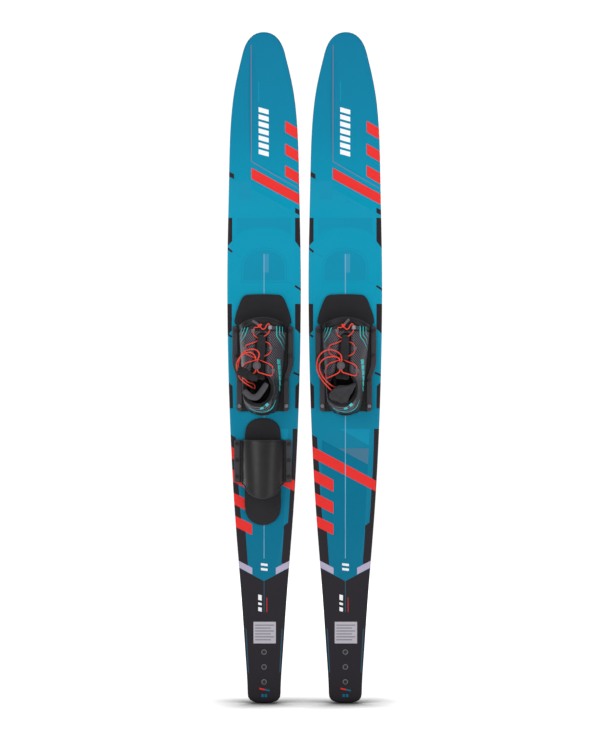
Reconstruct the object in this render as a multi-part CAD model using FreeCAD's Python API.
import FreeCAD, Part
import math
import os

# A pair of combination water skis, modelled standing on their tails in millimetres.
# +Z runs along the skis from tail to tip, +X from the left ski to the right one, and the
# decks with their bindings face -Y. One ski and its binding are drawn in a ski frame:
# u across the ski from its centreline, h above the flat deck, z from the tail.
# In that frame a point is (u, -h, z), and place() moves it to its ski.

Vector = FreeCAD.Vector

# ---- driving dimensions ---------------------------------------------------------------
SKI_LENGTH = 1702.0  # 67 inches
SKI_SPACING = 207.0  # centreline to centreline
SKI_THICKNESS = 22.0  # under the binding
TAIL_THICKNESS = 12.0
FIN_DEPTH = 64.0
HIGHEST_PIECE = 128.0  # the tongue's end above the deck

# The origin is the middle of the pair's footprint, so the deck's place follows.
DECK_Y = HIGHEST_PIECE - (HIGHEST_PIECE + SKI_THICKNESS + FIN_DEPTH) / 2

SKIS = {"left": -SKI_SPACING / 2, "right": SKI_SPACING / 2}
BINDING_OFFSET = {"left": -3.0, "right": 1.0}  # how far each binding sits off the centreline

# Half the ski's outline, from the middle of the tail round to the middle of the tip (u, z)
OUTLINE = [
    (0.0, 0.0), (14.0, 0.7), (27.0, 3.8), (38.3, 11.0), (42.3, 30.0), (46.8, 112.0),
    (57.4, 265.0), (75.1, 494.0), (87.0, 723.0), (93.0, 952.0), (93.4, 1130.0), (89.3, 1334.0),
    (83.5, 1486.0), (73.9, 1563.0), (56.4, 1639.0), (40.7, 1680.0), (21.0, 1697.5),
    (0.0, SKI_LENGTH),
]
ROCKER_START = 1180.0  # the base is flat up to here, and an arc beyond
ROCKER_RADIUS = 1592.0
TAIL_FLAT_END = 170.0  # the deck is level over the fin
WAIST_START, WAIST_END = 440.0, 1060.0  # the deck is level under the bindings
TIP_THICKNESS = [(1180.0, 21.8), (1300.0, 20.0), (1420.0, 17.6), (1540.0, 15.0), (1640.0, 12.6)]
TIP_END_THICKNESS = 11.0
SHOULDER_RADIUS = 5.0
SKIN = 2.5  # laminate over the foam core
TUNNEL_DEPTH, TUNNEL_HALF_WIDTH, TUNNEL_START = 3.5, 36.0, 178.0

# Fin and its three screws
FIN_SCREW_Z = (55.0, 93.0, 131.0)
FIN_FRONT, FIN_BACK = 152.0, 33.0
FIN_ROOT_THICKNESS, FIN_EDGE_THICKNESS = 12.0, 3.0
FIN_FOOT_HALF_WIDTH, FIN_FOOT_THICKNESS = 13.0, 3.0
FIN_SEAT_DEPTH = 0.8  # of the pocket in the base that the foot stands in
CUP_RADIUS, CUP_HEIGHT = 7.0, 2.4
SCREW_RADIUS, SCREW_HOLE_RADIUS = 2.5, 3.0
INSERT_RADIUS, INSERT_BORE_RADIUS, INSERT_LENGTH = 4.5, 2.6, 12.0
INSERT_GAP = 0.05  # round each moulded-in insert
FIN_HEAD_RADIUS, FIN_HEAD_HEIGHT = 4.6, 2.2
FIN_SCREW_LENGTH = TAIL_THICKNESS + 0.8 + 9.0
TAIL_DECK = TAIL_THICKNESS - SKI_THICKNESS
FIN_TIP = -SKI_THICKNESS - FIN_DEPTH

# Binding: foam pad, chassis plate, rails
PAD_THICKNESS = 4.0  # under the plate
PLATE_TOP = 6.5
TOE_PAD_TIP, TOE_PAD_BACK = 1042.5, 966.0
TOE_PAD_TIP_HALF_WIDTH, TOE_PAD_HALF_WIDTH = 45.0, 72.5
BINDING_BACK = 744.0
RAIL_FRONT = 962.0
RAIL_FRONT_U, RAIL_BACK_U = 70.5, 59.5  # centrelines, with an S-bend between
BEND_FRONT, BEND_BACK = 871.0, 822.0
RAIL_HALF_WIDTH, RAIL_TOP = 7.0, 10.0
RAIL_LIP = 4.0  # how far the rail reaches over the plate
RAIL_SCREW_Z = (949.0, 885.5, 822.0, 758.5)
RAIL_SCREW_LENGTH = RAIL_TOP + 9.0
SCREW_HEAD_RADIUS, SCREW_HEAD_HEIGHT = 5.0, 2.8
SOCKET_RADIUS, SOCKET_DEPTH = 2.3, 1.8

# Boot upper: (z, half-width, height above the deck, lean of the roof to the left)
BOOT = [
    (738.0, 26.0, 32.0, -1.0), (743.0, 32.0, 62.0, -3.0), (750.0, 37.0, 90.0, -6.0),
    (760.0, 41.0, 111.0, -8.5), (775.0, 44.5, 122.0, -10.0), (800.0, 47.0, 127.0, -10.5),
    (830.0, 49.0, 121.0, -10.0), (860.0, 52.0, 108.0, -8.0), (895.0, 55.5, 92.0, -5.0),
    (930.0, 58.5, 79.0, -2.0), (962.0, 60.0, 69.0, 0.0), (996.0, 60.0, 62.0, 0.0),
]
ARCH_POWER = 2.7  # of the superellipse that the boot's cross-sections follow
ARCH_STEPS = 12
UPPER_WALL = 3.0
TOE_LIP_SIDE, TOE_LIP_MIDDLE = 961.0, 984.0
COLLAR_U, COLLAR_Z, COLLAR_HALF_U, COLLAR_HALF_Z = -10.0, 803.0, 40.0, 46.0
THROAT_FRONT, THROAT_HALF_WIDTH = 946.0, 14.0
BOOT_HIGHEST_Z = 775.0  # stations behind this one are the heel
LINER_GAP, LINER_THICKNESS, LINER_FRONT, LINER_ROLL = 0.8, 5.0, 895.0, 5.0
LINER_THROAT_MARGIN = 12.0  # leaves room for the tongue
INSOLE_TOP = PLATE_TOP + 5.0

# The tongue's middle line (u, h, z) and half-width, from under the toe lip to its free end
TONGUE = [
    (-0.5, 59.5, 957.0, 17.0), (-2.0, 67.5, 930.0, 21.0), (-4.5, 80.0, 897.0, 24.0),
    (-7.5, 94.5, 862.0, 23.0), (-9.0, 103.0, 844.0, 19.5), (-10.0, 114.0, 833.0, 19.0),
    (-10.5, 125.4, 826.0, 20.0),
]
TONGUE_THICKNESS = 5.0
# On the left boot the end of the tongue has fallen over the collar's outboard side
TONGUE_FLOP = [
    (-12.0, 125.2, 827.0, 5.0), (-24.0, 125.0, 831.0, 9.0), (-39.0, 123.5, 839.0, 12.0),
    (-54.0, 119.5, 846.0, 13.5), (-64.0, 109.5, 850.0, 13.0),
]

# Keepers on the upper, three down each side of the throat: the middle (u, h, z) of each one's tunnel
KEEPERS = [
    (19.0, 73.0, 957.0), (21.0, 88.8, 904.0), (26.0, 102.3, 848.0),
    (-23.2, 75.4, 948.0), (-43.2, 79.0, 903.0), (-50.7, 79.8, 846.0),
]
KEEPER_HALF, KEEPER_TUNNEL, KEEPER_COVER = 4.5, 2.5, 3.6

# The lace is 3 mm elastic cord. Its routes are lists of (u, h, z), from the knot at the toe.
LACE_RADIUS = 1.5
KNOT, KNOT_RADIUS = (-7.0, 74.5, 962.0), 3.8
FIRST_STRAND = [
    KNOT, (-3.5, 75.2, 955.5), (1.5, 75.2, 951.5), (7.0, 75.1, 955.0), (10.0, 75.0, 962.5),
    (14.5, 74.4, 967.5), (18.8, 73.4, 963.5), (19.0, 73.0, 951.0), (14.5, 77.5, 942.0),
    (5.0, 82.5, 934.5), (-6.0, 86.0, 927.0), (-18.5, 89.0, 920.0), (-30.5, 88.0, 915.5),
    (-39.5, 84.0, 913.5), (-43.0, 79.6, 909.0), (-43.6, 79.2, 897.2), (-41.0, 86.5, 889.5),
    (-29.5, 96.5, 884.5), (-17.5, 102.0, 879.5), (-6.0, 105.0, 874.5), (6.0, 106.5, 869.5),
    (17.5, 106.8, 865.0), (24.6, 104.5, 860.0), (26.0, 102.6, 854.0), (26.2, 102.7, 841.5),
    (23.5, 108.6, 834.8), (15.0, 113.6, 836.0), (5.5, 116.3, 839.5), (-3.0, 118.0, 841.5),
    (-9.5, 119.0, 843.5), (-12.1, 118.3, 848.0), (-12.1, 118.0, 853.0),
]
SECOND_STRAND = [
    KNOT, (-11.5, 75.2, 956.0), (-17.5, 75.8, 957.5), (-22.6, 75.4, 954.5), (-23.2, 75.8, 942.0),
    (-20.0, 78.8, 935.5), (-12.5, 80.5, 930.5), (-3.0, 81.3, 925.5), (7.5, 82.6, 920.5),
    (16.5, 86.2, 917.0), (21.0, 88.6, 911.0), (21.2, 89.4, 897.7), (17.8, 93.6, 890.5),
    (7.2, 100.8, 885.5), (-5.0, 107.4, 880.0), (-17.0, 109.5, 874.5), (-28.5, 106.0, 871.0),
    (-39.0, 99.0, 868.0), (-47.0, 89.6, 862.5), (-50.3, 80.3, 853.2), (-50.9, 80.0, 840.5),
    (-51.5, 84.8, 833.0), (-49.2, 95.0, 829.3), (-43.5, 106.2, 831.0), (-35.5, 113.2, 835.0),
    (-26.5, 117.4, 839.0), (-19.8, 119.0, 842.5), (-16.0, 118.4, 847.5), (-15.9, 118.0, 853.0),
]
# The loops run from the lock over the collar, down into the boot and back to the lock
LOOP = {
    "left": [
        (-12.1, 118.0, 869.0), (-11.6, 119.2, 877.0), (-7.5, 121.0, 885.0), (-8.0, 122.0, 893.5),
        (-15.0, 121.8, 900.5), (-27.5, 118.5, 902.5), (-40.0, 113.0, 899.5), (-50.5, 107.0, 891.5),
        (-57.0, 101.0, 879.5), (-60.5, 97.0, 866.0), (-61.5, 95.5, 853.0), (-61.0, 98.0, 841.0),
        (-57.5, 104.0, 830.5), (-50.0, 109.0, 822.0), (-40.5, 106.0, 815.0), (-31.5, 97.0, 809.0),
        (-24.5, 85.0, 804.5), (-20.0, 73.5, 802.5), (-18.5, 65.0, 807.0), (-21.5, 66.5, 814.0),
        (-27.0, 76.5, 816.5), (-32.5, 90.0, 817.5), (-38.0, 103.5, 820.5), (-47.5, 111.0, 829.5),
        (-58.0, 107.0, 840.0), (-64.5, 102.5, 851.0), (-65.5, 103.0, 862.5), (-62.0, 106.0, 874.0),
        (-54.5, 111.0, 884.5), (-44.5, 115.8, 892.0), (-33.5, 120.0, 895.0), (-23.5, 122.3, 891.5),
        (-17.5, 121.2, 884.0), (-15.7, 119.2, 876.5), (-15.9, 118.0, 869.0),
    ],
    "right": [
        (-12.1, 118.0, 869.0), (-11.6, 119.4, 877.0), (-13.0, 121.5, 886.5), (-21.0, 121.8, 894.5),
        (-33.0, 118.5, 900.0), (-47.0, 113.5, 901.0), (-60.0, 108.0, 895.0), (-69.5, 103.5, 884.0),
        (-74.0, 101.0, 870.5), (-74.5, 100.5, 856.5), (-71.5, 102.5, 842.5), (-65.0, 106.5, 829.5),
        (-56.0, 110.5, 817.5), (-46.5, 109.5, 807.5), (-38.5, 101.0, 799.5), (-32.0, 89.0, 794.0),
        (-27.0, 77.0, 791.5), (-23.0, 67.0, 794.5), (-22.0, 67.5, 802.5), (-25.5, 77.5, 805.5),
        (-31.5, 89.5, 807.5), (-39.5, 102.0, 812.0), (-48.5, 112.0, 820.0), (-57.5, 115.0, 830.0),
        (-64.5, 113.0, 841.0), (-68.5, 109.5, 853.0), (-67.5, 108.0, 865.0), (-60.5, 110.5, 875.0),
        (-50.0, 114.5, 881.0), (-38.5, 119.0, 883.5), (-28.0, 122.3, 883.0), (-20.3, 121.3, 880.0),
        (-16.3, 119.2, 875.0), (-15.9, 118.0, 869.0),
    ],
}
END_TAB_TURN = {"left": 56.0, "right": -42.0}  # degrees from the ski's length towards outboard
END_TAB_LENGTH, END_TAB_WIDTH, END_TAB_THICKNESS = 19.0, 6.5, 3.2

# Cord lock: a round body with a sprung button, and a slot through both for the two cords
LOCK_U, LOCK_Z, LOCK_BASE = -14.0, 861.0, 107.6
LOCK_RADIUS, LOCK_BORE, LOCK_HEIGHT, LOCK_FLOOR = 10.2, 7.3, 13.8, 1.5
BUTTON_RADIUS, BUTTON_LOW, BUTTON_HIGH = 7.1, 6.5, 18.2  # heights above the lock's base
LOCK_TRAVEL = 3.0
CORD_SLOT_WIDTH, CORD_SLOT_LOW, CORD_SLOT_HIGH = 7.4, 8.6, 12.4
SPRING_RADIUS, SPRING_WIRE, SPRING_TURNS = 4.6, 0.35, 3.0

# The rear toe loop, on the left ski only
TOE_PAD_LOW, TOE_PAD_HIGH, TOE_LOOP_PAD_HALF_WIDTH, TOE_LOOP_PAD_THICKNESS = 455.0, 727.0, 46.0, 6.0
STRAP_BACK, STRAP_FRONT = 565.0, 671.0  # where it is clamped
STRAP_MOUTH, STRAP_MOUTH_HALF_WIDTH = 526.0, 44.5  # its free lower edge
STRAP_THICKNESS, STRAP_FLANGE = 4.0, 3.0
STRAP = [
    (682.0, 52.5, 48.0), (650.0, 53.5, 54.0), (610.0, 53.5, 60.5), (570.0, 52.5, 66.0),
    (530.0, 51.5, 70.0), (512.0, 51.0, 71.5),
]
STRAP_POWER = 2.3
LOOP_RAIL_INNER, LOOP_RAIL_OUTER, LOOP_RAIL_TOP, LOOP_RAIL_LIP = 58.0, 73.0, 8.0, 4.5
LOOP_SCREW_U, LOOP_SCREW_Z = 66.5, (578.0, 620.0, 662.0)
LOOP_SCREW_LENGTH = LOOP_RAIL_TOP + 9.0


def at(u, h, z):
    return Vector(u, -h, z)


def line(p, q):
    return Part.LineSegment(p, q).toShape()


def arc(p, middle, q):
    return Part.Arc(p, middle, q).toShape()


def spline(points, start=None, end=None):
    curve = Part.BSplineCurve()
    if start is None:
        curve.interpolate(Points=points)
    else:
        curve.interpolate(Points=points, InitialTangent=start, FinalTangent=end)
    return curve.toShape()


def closed_spline(points):
    curve = Part.BSplineCurve()
    curve.interpolate(Points=points, PeriodicFlag=True)
    return curve.toShape()


def symmetric_spline(right):
    """A closed smooth outline from its right half, as one edge for each half."""
    left = [Vector(-p.x, 0, p.z) for p in reversed(right[1:-1])]
    curve = Part.BSplineCurve()
    curve.interpolate(Points=right + left, PeriodicFlag=True)
    top = curve.parameter(right[-1])
    return [
        curve.toShape(curve.FirstParameter, top),
        curve.toShape(top, curve.LastParameter),
    ]


def prism(edges, low, high):
    """The closed plan outline, drawn at h = 0, as a solid from height low to height high."""
    face = Part.Face(Part.Wire(edges))
    face.translate(Vector(0, -low, 0))
    return face.extrude(Vector(0, low - high, 0))


def upright(radius, u, z, low, high):
    """A cylinder square to the deck."""
    return Part.makeCylinder(radius, high - low, at(u, low, z), Vector(0, -1, 0))


def group(shapes):
    return Part.makeCompound(shapes)


def moved(shape, u):
    copy = shape.copy()
    copy.translate(Vector(u, 0, 0))
    return copy


# ---- the ski --------------------------------------------------------------------------
def inset_outline(inset):
    """The half outline moved inwards by inset, square to the curve at each point."""
    points = [Vector(0, 0, inset)]
    for before, (u, z), after in zip(OUTLINE, OUTLINE[1:], OUTLINE[2:]):
        run, rise = after[0] - before[0], after[1] - before[1]
        length = math.hypot(run, rise)
        points.append(Vector(u - inset * rise / length, 0, z + inset * run / length))
    points.append(Vector(0, 0, SKI_LENGTH - inset))
    return points


def ski_plan(inset):
    outline = symmetric_spline(inset_outline(inset))
    return prism(outline, -SKI_THICKNESS - 50, HIGHEST_PIECE + 50)


def rocker_rise(z):
    past = max(z - ROCKER_START, 0.0)
    return ROCKER_RADIUS - math.sqrt(ROCKER_RADIUS**2 - past**2)


def ski_profile(inset):
    """The side view's solid: level base and arc below, tapering deck above."""
    beyond = 30.0
    base = -SKI_THICKNESS + inset
    tail_deck = -SKI_THICKNESS + TAIL_THICKNESS - inset
    deck = -inset
    tip_z = SKI_LENGTH + beyond
    along = Vector(0, 0, 1)

    def side(h, z):
        return at(0, h, z)

    tip_points = [side(deck, WAIST_END)]
    for z, thickness in TIP_THICKNESS + [(SKI_LENGTH, TIP_END_THICKNESS)]:
        tip_points.append(side(rocker_rise(z) - SKI_THICKNESS + thickness - inset, z))
    slope = ROCKER_START - SKI_LENGTH
    tip_slope = Vector(0, slope / math.sqrt(ROCKER_RADIUS**2 - slope**2), 1).normalize()
    tip_deck = tip_points[-1] + tip_slope * beyond
    middle_z = (ROCKER_START + tip_z) / 2
    tip_base = side(rocker_rise(tip_z) + base, tip_z)
    edges = [
        line(side(base, -beyond), side(tail_deck, -beyond)),
        line(side(tail_deck, -beyond), side(tail_deck, TAIL_FLAT_END)),
        spline([side(tail_deck, TAIL_FLAT_END), side(deck, WAIST_START)], along, along),
        line(side(deck, WAIST_START), side(deck, WAIST_END)),
        spline(tip_points, along, tip_slope),
        line(tip_points[-1], tip_deck),
        line(tip_deck, tip_base),
        arc(tip_base, side(rocker_rise(middle_z) + base, middle_z), side(base, ROCKER_START)),
        line(side(base, ROCKER_START), side(base, -beyond)),
    ]
    face = Part.Face(Part.Wire(edges))
    face.translate(Vector(-150, 0, 0))
    return face.extrude(Vector(300, 0, 0))


def tunnel(inset):
    """The shallow round channel along the base, which runs out where the tip rises."""
    radius = (TUNNEL_HALF_WIDTH**2 + TUNNEL_DEPTH**2) / (2 * TUNNEL_DEPTH)
    axis_h = TUNNEL_DEPTH - SKI_THICKNESS - radius
    start = at(0, axis_h, TUNNEL_START - inset)
    return Part.makeCylinder(radius + inset, SKI_LENGTH, start, Vector(0, 0, 1))


def deck_rim(solid):
    """The long edges where the ski's sides meet its deck."""
    rim = []
    for edge in solid.Edges:
        middle = edge.valueAt((edge.FirstParameter + edge.LastParameter) / 2)
        above_base = -middle.y - rocker_rise(middle.z) + SKI_THICKNESS
        if abs(middle.x) > 8 and above_base > 1:
            rim.append(edge)
    return rim


def ski_body():
    body = ski_profile(0).common(ski_plan(0))
    return body.makeFillet(SHOULDER_RADIUS, deck_rim(body)).cut(tunnel(0))


def ski_core():
    return ski_profile(SKIN).common(ski_plan(SKIN + 0.5)).cut(tunnel(SKIN))


def screw(u, z, head_base, length, head_radius=SCREW_HEAD_RADIUS, head_height=SCREW_HEAD_HEIGHT):
    """A pan-head screw with a round drive socket, its axis square to the deck."""
    head = upright(head_radius, u, z, head_base, head_base + head_height)
    top_edge = max(head.Edges, key=lambda edge: edge.BoundBox.YMin * -1)
    head = head.makeFillet(head_height * 0.45, [top_edge])
    shank = upright(SCREW_RADIUS, u, z, head_base - length, head_base)
    top = head_base + head_height
    socket = upright(SOCKET_RADIUS, u, z, top - SOCKET_DEPTH, top + 1)
    return head.fuse(shank).removeSplitter().cut(socket)


def insert(u, z, top):
    """A brass insert moulded in below the deck."""
    body = upright(INSERT_RADIUS, u, z, top - INSERT_LENGTH, top)
    return body.cut(upright(INSERT_BORE_RADIUS, u, z, top - INSERT_LENGTH - 1, top + 1))


def insert_hole(u, z, top):
    return upright(INSERT_RADIUS + INSERT_GAP, u, z, top - INSERT_LENGTH - INSERT_GAP, top + 1)


# ---- the fin --------------------------------------------------------------------------
def fin_foot():
    """The round-ended foot, which also shapes its pocket in the base."""
    ends = FIN_FOOT_HALF_WIDTH
    back, front = FIN_BACK - 4 + ends, FIN_FRONT + 4 - ends
    return prism([
        line(at(ends, 0, back), at(ends, 0, front)),
        arc(at(ends, 0, front), at(0, 0, front + ends), at(-ends, 0, front)),
        line(at(-ends, 0, front), at(-ends, 0, back)),
        arc(at(-ends, 0, back), at(0, 0, back - ends), at(ends, 0, back)),
    ], -SKI_THICKNESS - FIN_FOOT_THICKNESS, -SKI_THICKNESS + FIN_SEAT_DEPTH)


def fin():
    def side(h, z):
        return at(0, h, z)

    blade_edges = [
        line(side(-SKI_THICKNESS, FIN_BACK), side(-SKI_THICKNESS, FIN_FRONT)),
        spline([
            side(-SKI_THICKNESS, FIN_FRONT), side(-38.0, 140.0), side(-60.0, 113.0),
            side(-78.0, 84.0), side(FIN_TIP, 64.0), side(-81.0, 51.0), side(-62.0, 45.0),
            side(-40.0, 40.0), side(-SKI_THICKNESS, FIN_BACK),
        ]),
    ]
    blade = Part.Face(Part.Wire(blade_edges))
    blade.translate(Vector(-FIN_ROOT_THICKNESS, 0, 0))
    blade = blade.extrude(Vector(2 * FIN_ROOT_THICKNESS, 0, 0))
    root, edge = FIN_ROOT_THICKNESS / 2, FIN_EDGE_THICKNESS / 2
    taper = Part.makePolygon([
        at(-root, -SKI_THICKNESS, 0), at(-root, -SKI_THICKNESS - 12, 0),
        at(-edge, FIN_TIP - 1, 0), at(edge, FIN_TIP - 1, 0),
        at(root, -SKI_THICKNESS - 12, 0), at(root, -SKI_THICKNESS, 0), at(-root, -SKI_THICKNESS, 0),
    ])
    taper = Part.Face(taper).extrude(Vector(0, 0, FIN_FRONT + 20))
    body = blade.common(taper).fuse(fin_foot())
    for z in FIN_SCREW_Z:
        body = body.cut(insert_hole(0, z, -SKI_THICKNESS))
    return body


def fin_insert(z):
    return insert(0, z, -SKI_THICKNESS)


def cup_washer(z):
    """A dished washer on the deck that the fin screw's head sits in."""
    top = TAIL_DECK + CUP_HEIGHT
    cone = Part.makeCone(CUP_RADIUS, CUP_RADIUS - 1.6, CUP_HEIGHT, at(0, TAIL_DECK, z), Vector(0, -1, 0))
    return cone.cut(upright(FIN_HEAD_RADIUS + 0.2, 0, z, TAIL_DECK + 0.8, top + 1)).cut(
        upright(SCREW_HOLE_RADIUS, 0, z, TAIL_DECK - 1, top)
    )


def fin_screw(z):
    return screw(0, z, TAIL_DECK + 0.8, FIN_SCREW_LENGTH, FIN_HEAD_RADIUS, FIN_HEAD_HEIGHT)


# ---- the binding ----------------------------------------------------------------------
def rail_line(offset):
    """The edges of a line that follows the rail's centreline offset mm outboard."""
    front, back = RAIL_FRONT_U + offset, RAIL_BACK_U + offset
    along = Vector(0, 0, -1)
    return front, back, spline([at(front, 0, BEND_FRONT), at(back, 0, BEND_BACK)], along, along)


def foot_pad():
    """Thick foam ahead of the boot and thin foam under its plate."""
    tip, side = TOE_PAD_TIP_HALF_WIDTH, TOE_PAD_HALF_WIDTH
    right = [
        at(side - 4, 0, TOE_PAD_BACK), at(side, 0, TOE_PAD_BACK + 6), at(66, 0, 1000),
        at(tip + 12, 0, 1024), at(tip, 0, TOE_PAD_TIP - 3),
    ]
    left = [Vector(-p.x, 0, p.z) for p in reversed(right)]
    toe = prism([
        spline(right),
        arc(right[-1], at(0, 0, TOE_PAD_TIP), left[0]),
        spline(left),
        line(left[-1], right[0]),
    ], 0, PLATE_TOP)
    rim = [edge for edge in toe.Edges if edge.BoundBox.YMax < 0.1 - PLATE_TOP and edge.Length > 20]
    toe = toe.makeFillet(2.0, rim)
    return toe.fuse(plate_outline(0, PAD_THICKNESS, RAIL_HALF_WIDTH + 0.4)).removeSplitter()


def plate_outline(low, high, inside):
    """The plan between the rails, its edge this far inboard of their centrelines."""
    front, back, right_bend = rail_line(-inside)
    left_bend = right_bend.mirror(Vector(0, 0, 0), Vector(1, 0, 0))
    return prism([
        line(at(-front, 0, TOE_PAD_BACK), at(front, 0, TOE_PAD_BACK)),
        line(at(front, 0, TOE_PAD_BACK), at(front, 0, BEND_FRONT)),
        right_bend,
        line(at(back, 0, BEND_BACK), at(back, 0, BINDING_BACK)),
        arc(at(back, 0, BINDING_BACK), at(0, 0, BINDING_BACK + 3), at(-back, 0, BINDING_BACK)),
        line(at(-back, 0, BINDING_BACK), at(-back, 0, BEND_BACK)),
        left_bend,
        line(at(-front, 0, BEND_FRONT), at(-front, 0, TOE_PAD_BACK)),
    ], low, high)


def boot_plate():
    return plate_outline(PAD_THICKNESS, PLATE_TOP, RAIL_HALF_WIDTH - RAIL_LIP + 0.3)


def rail_outline(low, high, inner, outer):
    """A band along the right rail between two offsets from its centreline."""
    front_in, back_in, bend_in = rail_line(inner)
    front_out, back_out, bend_out = rail_line(outer)
    half = (outer - inner) / 2
    front, back = RAIL_FRONT, BINDING_BACK
    return prism([
        line(at(front_in, 0, front - half), at(front_in, 0, BEND_FRONT)),
        bend_in,
        line(at(back_in, 0, BEND_BACK), at(back_in, 0, back + half)),
        arc(at(back_in, 0, back + half), at(back_in + half, 0, back), at(back_out, 0, back + half)),
        line(at(back_out, 0, back + half), at(back_out, 0, BEND_BACK)),
        bend_out,
        line(at(front_out, 0, BEND_FRONT), at(front_out, 0, front - half)),
        arc(at(front_out, 0, front - half), at(front_in + half, 0, front), at(front_in, 0, front - half)),
    ], low, high)


def rail_screw_places():
    places = []
    for z in RAIL_SCREW_Z:
        if z >= BEND_FRONT:
            u = RAIL_FRONT_U
        else:
            u = RAIL_BACK_U
        places.append((u, z))
    return places


def binding_rail(side):
    """A rail that clamps the plate's edge to the ski; side is 1 on the right, -1 on the left."""
    rail = rail_outline(0, RAIL_TOP, -RAIL_HALF_WIDTH, RAIL_HALF_WIDTH)
    top_edges = [e for e in rail.Edges if e.BoundBox.YMax < 0.1 - RAIL_TOP]
    rail = rail.makeFillet(1.8, top_edges)
    rail = rail.cut(rail_outline(-1, PLATE_TOP + 0.1, -RAIL_HALF_WIDTH - 20, RAIL_LIP - RAIL_HALF_WIDTH))
    for centre, z in ((RAIL_FRONT_U, RAIL_FRONT - 18), (RAIL_BACK_U, BINDING_BACK - 4)):
        lip_u = centre - RAIL_HALF_WIDTH + RAIL_LIP
        rail = rail.cut(Part.makeBox(60, PLATE_TOP + 1.1, 30, at(lip_u - 60, PLATE_TOP + 0.1, z)))
    for u, z in rail_screw_places():
        rail = rail.cut(upright(SCREW_HOLE_RADIUS, u, z, -1, RAIL_TOP + 1))
    if side < 0:
        rail = rail.mirror(Vector(0, 0, 0), Vector(1, 0, 0))
    return rail


# ---- the boot -------------------------------------------------------------------------
def arch(z, half_width, height, lean, low, power=ARCH_POWER):
    """A cross-section: a superellipse arch on the plate, cut off level at the height low."""
    points = []
    start = math.asin((max(low - PLATE_TOP, 0.0) / (height - PLATE_TOP)) ** (power / 2))
    for step in range(ARCH_STEPS + 1):
        angle = start + (math.pi - 2 * start) * step / ARCH_STEPS
        across = math.copysign(abs(math.cos(angle)) ** (2 / power), math.cos(angle))
        rise = math.sin(angle) ** (2 / power)
        h = PLATE_TOP + (height - PLATE_TOP) * rise
        if low < PLATE_TOP and step in (0, ARCH_STEPS):
            h = low
        points.append(at(half_width * across + lean * rise, h, z))
    return Part.Wire([spline(points), line(points[-1], points[0])])


def boot_form(inset, low=PLATE_TOP, front=BOOT[-1][0], beyond=6.0):
    """The boot's outer form drawn in by inset, from the heel to a little beyond front."""
    sections = []
    for z, half_width, height, lean in BOOT:
        if z <= front:
            heel_shift = inset if z < BOOT_HIGHEST_Z else 0.0
            last = (half_width - inset, height - inset, lean)
            sections.append(arch(z + heel_shift, *last, low))
    if beyond > 0:
        sections.append(arch(front + beyond, *last, low))
    return Part.makeLoft(sections, True, True)


def collar_hole(margin):
    """The upright hole that the foot goes down through, grown all round by margin."""
    points = []
    for step in range(16):
        angle = 2 * math.pi * step / 16
        points.append(at(
            COLLAR_U + (COLLAR_HALF_U + margin) * math.cos(angle), 0,
            COLLAR_Z + (COLLAR_HALF_Z + margin) * math.sin(angle),
        ))
    return prism([closed_spline(points)], 45, HIGHEST_PIECE + 30)


def throat(margin):
    """The slot over the tongue, from the toe to the collar, grown on each side by margin."""
    front, back = THROAT_HALF_WIDTH + margin, THROAT_HALF_WIDTH + 6 + margin
    z_front, z_back = THROAT_FRONT - front + margin, COLLAR_Z + COLLAR_HALF_Z - 12
    return prism([
        line(at(COLLAR_U - back, 0, z_back), at(-front, 0, z_front)),
        arc(at(-front, 0, z_front), at(0, 0, z_front + front), at(front, 0, z_front)),
        line(at(front, 0, z_front), at(COLLAR_U + back, 0, z_back)),
        line(at(COLLAR_U + back, 0, z_back), at(COLLAR_U - back, 0, z_back)),
    ], 30, HIGHEST_PIECE + 30)


def toe_limit(setback):
    """Everything behind the toe lip's curved edge, moved back by setback."""
    side, middle, width = TOE_LIP_SIDE - setback, TOE_LIP_MIDDLE - setback, 62.0
    return prism([
        line(at(-width - 20, 0, 700), at(width + 20, 0, 700)),
        line(at(width + 20, 0, 700), at(width + 20, 0, side)),
        line(at(width + 20, 0, side), at(width, 0, side)),
        arc(at(width, 0, side), at(0, 0, middle), at(-width, 0, side)),
        line(at(-width, 0, side), at(-width - 20, 0, side)),
        line(at(-width - 20, 0, side), at(-width - 20, 0, 700)),
    ], -10, HIGHEST_PIECE + 30)


def boot_upper():
    wall = boot_form(0).cut(boot_form(UPPER_WALL, PLATE_TOP - 1, beyond=7.0))
    return wall.common(toe_limit(0)).cut(collar_hole(0)).cut(throat(0))


def liner():
    """The padded sock inside the upper, from the arch of the foot round the heel."""
    outside = UPPER_WALL + LINER_GAP
    outer = boot_form(outside, INSOLE_TOP + 0.4, LINER_FRONT, 0.0)
    padding = outer.cut(boot_form(outside + LINER_THICKNESS, INSOLE_TOP, LINER_FRONT, 1.0))
    return padding.cut(collar_hole(-LINER_ROLL)).cut(throat(LINER_THROAT_MARGIN))


def insole():
    foot = boot_form(UPPER_WALL + 1.0)
    slab = Part.makeBox(200, INSOLE_TOP - PLATE_TOP, 300, at(-100, INSOLE_TOP, 700))
    return foot.common(slab).common(toe_limit(1.0))


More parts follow.
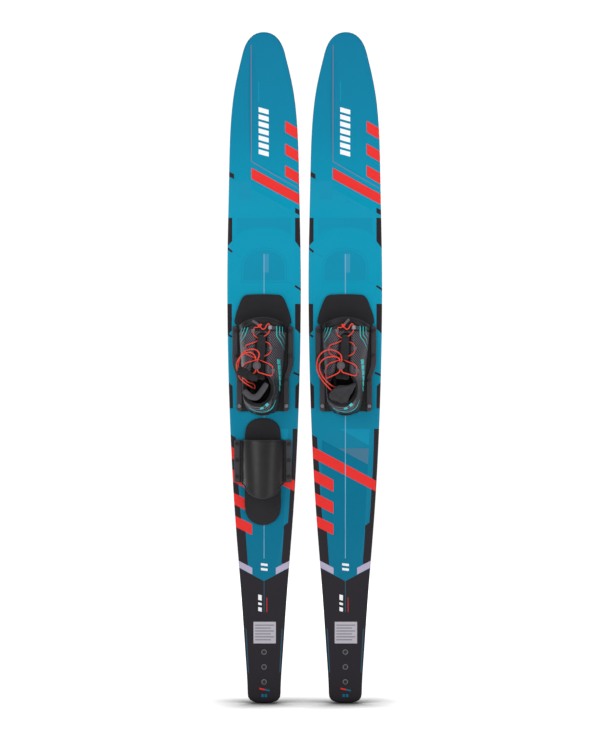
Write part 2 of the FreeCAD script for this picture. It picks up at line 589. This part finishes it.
def tongue(flopped):
    sections = []
    for index, (u, h, z, half_width) in enumerate(TONGUE):
        before = TONGUE[max(index - 1, 0)]
        after = TONGUE[min(index + 1, len(TONGUE) - 1)]
        rise, run = after[1] - before[1], after[2] - before[2]
        length = math.hypot(rise, run)
        half = TONGUE_THICKNESS / 2
        dh, dz = -half * run / length, half * rise / length
        sections.append(Part.makePolygon([
            at(u - half_width, h + dh, z + dz), at(u + half_width, h + dh, z + dz),
            at(u + half_width, h - dh, z - dz), at(u - half_width, h - dh, z - dz),
            at(u - half_width, h + dh, z + dz),
        ]))
    body = Part.makeLoft(sections, True, False)
    if flopped:
        flop = []
        for u, h, z, half_width in TONGUE_FLOP:
            half = TONGUE_THICKNESS / 2
            flop.append(Part.makePolygon([
                at(u, h - half, z - half_width), at(u, h + half, z - half_width),
                at(u, h + half, z + half_width), at(u, h - half, z + half_width),
                at(u, h - half, z - half_width),
            ]))
        body = body.fuse(Part.makeLoft(flop, True, False)).removeSplitter()
    return body


# ---- lacing ---------------------------------------------------------------------------
def keeper(form, u, h, z):
    """A bar on the upper with a tunnel along the boot for the lace, whose middle is given."""
    half, top = KEEPER_HALF, h + KEEPER_COVER
    bar = Part.makeBox(2 * half, 18, 2 * half, at(u - half, top, z - half))
    bar = bar.makeFillet(1.5, bar.Edges)
    hole = Part.makeCylinder(KEEPER_TUNNEL, 4 * half, at(u, h, z - 2 * half), Vector(0, 0, 1))
    return bar.cut(form).cut(hole)


def tube(name, route):
    """The cord: straight runs joined by tangent arcs as large as each pair of runs allows."""
    points = [at(*point) for point in route]
    edges, radii, start = [], [], points[0]
    for before, corner, after in zip(points, points[1:], points[2:]):
        back, ahead = before - corner, after - corner
        half_turn = (math.pi - back.getAngle(ahead)) / 2
        reach = 0.45 * min(back.Length, ahead.Length)
        radius = reach / math.tan(half_turn)
        back.normalize()
        ahead.normalize()
        inwards = (back + ahead).normalize()
        middle = corner + inwards * (radius / math.cos(half_turn) - radius)
        edges.append(line(start, corner + back * reach))
        edges.append(arc(corner + back * reach, middle, corner + ahead * reach))
        start = corner + ahead * reach
        radii.append(radius)
    edges.append(line(start, points[-1]))
    path = Part.Wire(edges)
    ring = Part.Wire(Part.Circle(points[0], points[1] - points[0], LACE_RADIUS).toShape())
    solid = path.makePipeShell([ring], True, False)
    expected = math.pi * LACE_RADIUS**2 * path.Length
    print(f"{name}: {path.Length:.0f} mm long, volume {solid.Volume / expected:.4f} of section x length,"
          f" radii", " ".join(f"{radius:.0f}" for radius in radii))
    return solid


def knot():
    return Part.makeSphere(KNOT_RADIUS, at(*KNOT))


def end_tab(side):
    """The moulded tab that holds the lace's ends, against the knot."""
    u, h, z = KNOT
    tab = Part.makeBox(
        END_TAB_WIDTH, END_TAB_THICKNESS, END_TAB_LENGTH,
        at(u - END_TAB_WIDTH / 2, h + END_TAB_THICKNESS / 2, z + KNOT_RADIUS - 0.8),
    )
    tab = tab.makeFillet(1.4, tab.Edges)
    tab.rotate(at(u, h, z), Vector(0, -1, 0), END_TAB_TURN[side])
    return tab


def lock_slot(low, high):
    return Part.makeBox(
        CORD_SLOT_WIDTH, high - low, 40,
        at(LOCK_U - CORD_SLOT_WIDTH / 2, LOCK_BASE + high, LOCK_Z - 20),
    )


def lock_body():
    top = LOCK_BASE + LOCK_HEIGHT
    body = upright(LOCK_RADIUS, LOCK_U, LOCK_Z, LOCK_BASE, top)
    body = body.makeFillet(1.2, [edge for edge in body.Edges if edge.Closed])
    body = body.cut(upright(LOCK_BORE, LOCK_U, LOCK_Z, LOCK_BASE + LOCK_FLOOR, top + 1))
    return body.cut(lock_slot(CORD_SLOT_LOW, CORD_SLOT_HIGH))


def lock_button():
    """The plunger; its slot is taller than the body's by its travel."""
    top = LOCK_BASE + BUTTON_HIGH
    button = upright(BUTTON_RADIUS, LOCK_U, LOCK_Z, LOCK_BASE + BUTTON_LOW, top)
    rim = [edge for edge in button.Edges if edge.Closed and edge.BoundBox.YMax < 0.1 - top]
    button = button.makeFillet(1.5, rim)
    return button.cut(lock_slot(CORD_SLOT_LOW - 0.3, CORD_SLOT_HIGH + LOCK_TRAVEL + 0.3))


def lock_spring():
    length = BUTTON_LOW - LOCK_FLOOR - 2 * SPRING_WIRE
    helix = Part.makeHelix(length / SPRING_TURNS, length, SPRING_RADIUS)
    ring = Part.Wire(Part.Circle(Vector(SPRING_RADIUS, 0, 0), Vector(0, 1, 0), SPRING_WIRE).toShape())
    coil = Part.Wire(helix.Edges).makePipeShell([ring], True, True)
    coil.rotate(Vector(0, 0, 0), Vector(1, 0, 0), 90)
    coil.translate(at(LOCK_U, LOCK_BASE + LOCK_FLOOR + SPRING_WIRE, LOCK_Z))
    return coil


# ---- the rear toe loop, on the left ski only -------------------------------------------
def toe_loop_pad():
    low, high, half = TOE_PAD_LOW, TOE_PAD_HIGH, TOE_LOOP_PAD_HALF_WIDTH
    right = [
        at(0, 0, low), at(22.0, 0, low + 5.5), at(37.5, 0, low + 19.0), at(half - 1, 0, low + 42.0),
        at(half, 0, low + 75.0), at(half, 0, high - 75.0), at(half - 1, 0, high - 38.0),
        at(38.5, 0, high - 16.0), at(24.0, 0, high - 4.5), at(0, 0, high),
    ]
    pad = prism(symmetric_spline(right), 0, TOE_LOOP_PAD_THICKNESS)
    top = [edge for edge in pad.Edges if edge.BoundBox.YMax < 0.1 - TOE_LOOP_PAD_THICKNESS]
    return pad.makeFillet(2.0, top)


def strap_form(inset, base):
    sections = []
    for z, half_width, height in STRAP:
        points = []
        for step in range(ARCH_STEPS + 1):
            angle = math.pi * step / ARCH_STEPS
            across = math.copysign(abs(math.cos(angle)) ** (2 / STRAP_POWER), math.cos(angle))
            rise = math.sin(angle) ** (2 / STRAP_POWER)
            points.append(at((half_width - inset) * across, base + (height - inset - base) * rise, z))
        sections.append(Part.Wire([spline(points), line(points[-1], points[0])]))
    return Part.makeLoft(sections, True, False)


def toe_loop_strap():
    """A rubber arch whose flanges the rails clamp; its mouth for the foot faces the tail."""
    half, mouth = LOOP_RAIL_INNER + LOOP_RAIL_LIP - 0.3, STRAP_MOUTH_HALF_WIDTH
    limit = prism([
        line(at(-half, 0, STRAP_BACK), at(-half, 0, STRAP_FRONT)),
        line(at(-half, 0, STRAP_FRONT), at(half, 0, STRAP_FRONT)),
        line(at(half, 0, STRAP_FRONT), at(half, 0, STRAP_BACK)),
        line(at(half, 0, STRAP_BACK), at(mouth, 0, STRAP_BACK - 7)),
        arc(at(mouth, 0, STRAP_BACK - 7), at(0, 0, STRAP_MOUTH), at(-mouth, 0, STRAP_BACK - 7)),
        line(at(-mouth, 0, STRAP_BACK - 7), at(-half, 0, STRAP_BACK)),
    ], -5, 100)
    arch_shell = strap_form(0, 0).cut(strap_form(STRAP_THICKNESS, -1.0)).common(limit)
    flange_in = STRAP[2][1] - STRAP_THICKNESS + 0.5
    for sign in (1, -1):
        flange = Part.makeBox(
            half - flange_in, STRAP_FLANGE, STRAP_FRONT - STRAP_BACK,
            at(min(sign * flange_in, sign * half), STRAP_FLANGE, STRAP_BACK),
        )
        arch_shell = arch_shell.fuse(flange)
    return arch_shell.removeSplitter()


def toe_loop_rail(side):
    inner, outer, top = LOOP_RAIL_INNER, LOOP_RAIL_OUTER, LOOP_RAIL_TOP
    length = STRAP_FRONT - STRAP_BACK + 2
    rail = Part.makeBox(outer - inner, top, length, at(inner, top, STRAP_BACK - 1))
    rail = rail.makeFillet(4.0, [edge for edge in rail.Edges if abs(edge.tangentAt(0).y) > 0.9])
    rail = rail.makeFillet(1.8, [edge for edge in rail.Edges if edge.BoundBox.YMax < 0.1 - top])
    clamped = STRAP_FLANGE + 0.1
    relief = Part.makeBox(LOOP_RAIL_LIP + 5, clamped + 1, 200, at(inner - 5, clamped, 500))
    rail = rail.cut(relief)
    for z in LOOP_SCREW_Z:
        rail = rail.cut(upright(SCREW_HOLE_RADIUS, LOOP_SCREW_U, z, -1, top + 1))
    if side < 0:
        rail = rail.mirror(Vector(0, 0, 0), Vector(1, 0, 0))
    return rail


# ---- the pair -------------------------------------------------------------------------
BOOT_SCREWS = [(sign * u, z) for sign in (1, -1) for u, z in rail_screw_places()]
LOOP_SCREWS = [(sign * LOOP_SCREW_U, z) for sign in (1, -1) for z in LOOP_SCREW_Z]


def ski_nodes(holes):
    """One ski with its fin; holes are the cuts for what is screwed into the deck."""
    body, core = ski_body(), ski_core()
    through = [upright(SCREW_HOLE_RADIUS, 0, z, FIN_TIP, 20) for z in FIN_SCREW_Z]
    cutters = group(holes + through)
    core = core.cut(cutters)
    return {
        "ski_shell": body.cut(ski_core()).cut(cutters).cut(fin_foot()),
        "ski_core": core,
        "fin": fin(),
        "fin_inserts": group([fin_insert(z) for z in FIN_SCREW_Z]),
        "fin_cup_washers": group([cup_washer(z) for z in FIN_SCREW_Z]),
        "fin_screws": group([fin_screw(z) for z in FIN_SCREW_Z]),
    }


def boot_nodes(side):
    form = boot_form(0)
    inboard = {"left": 1, "right": -1}[side]
    return {
        "foot_pad": foot_pad(),
        "boot_plate": boot_plate(),
        "boot_upper": boot_upper(),
        "boot_liner": liner(),
        "boot_insole": insole(),
        "boot_tongue": tongue(side == "left"),
        "lace_keepers": group([keeper(form, *middle) for middle in KEEPERS]),
        "inboard_rail": binding_rail(inboard),
        "outboard_rail": binding_rail(-inboard),
        "rail_screws": group([screw(u, z, RAIL_TOP, RAIL_SCREW_LENGTH) for u, z in BOOT_SCREWS]),
        "rail_inserts": group([insert(u, z, 0) for u, z in BOOT_SCREWS]),
        "lace_first_strand": tube(side + " first strand", FIRST_STRAND),
        "lace_second_strand": tube(side + " second strand", SECOND_STRAND),
        "lace_loop": tube(side + " loop", LOOP[side]),
        "lace_knot": knot(),
        "lace_end_tab": end_tab(side),
        "cord_lock_body": lock_body(),
        "cord_lock_button": lock_button(),
        "cord_lock_spring": lock_spring(),
    }


def toe_loop_nodes():
    return {
        "toe_loop_pad": toe_loop_pad(),
        "toe_loop_strap": toe_loop_strap(),
        "toe_loop_inboard_rail": toe_loop_rail(1),
        "toe_loop_outboard_rail": toe_loop_rail(-1),
        "toe_loop_screws": group([screw(u, z, LOOP_RAIL_TOP, LOOP_SCREW_LENGTH) for u, z in LOOP_SCREWS]),
        "toe_loop_inserts": group([insert(u, z, 0) for u, z in LOOP_SCREWS]),
    }


def main():
    os.makedirs("parts", exist_ok=True)
    for side, ski_x in SKIS.items():
        offset = BINDING_OFFSET[side]
        screw_places = list(BOOT_SCREWS)
        fitted = boot_nodes(side)
        if side == "left":
            screw_places += LOOP_SCREWS
            fitted.update(toe_loop_nodes())
        holes = [insert_hole(u + offset, z, 0) for u, z in screw_places]
        nodes = ski_nodes(holes)
        for name, shape in fitted.items():
            nodes[name] = moved(shape, offset)
        for name, shape in nodes.items():
            shape = shape.copy()
            shape.translate(Vector(ski_x, DECK_Y, 0))
            shape.exportStep(f"parts/{side}_{name}.step")


if __name__ == "__main__":
    main()
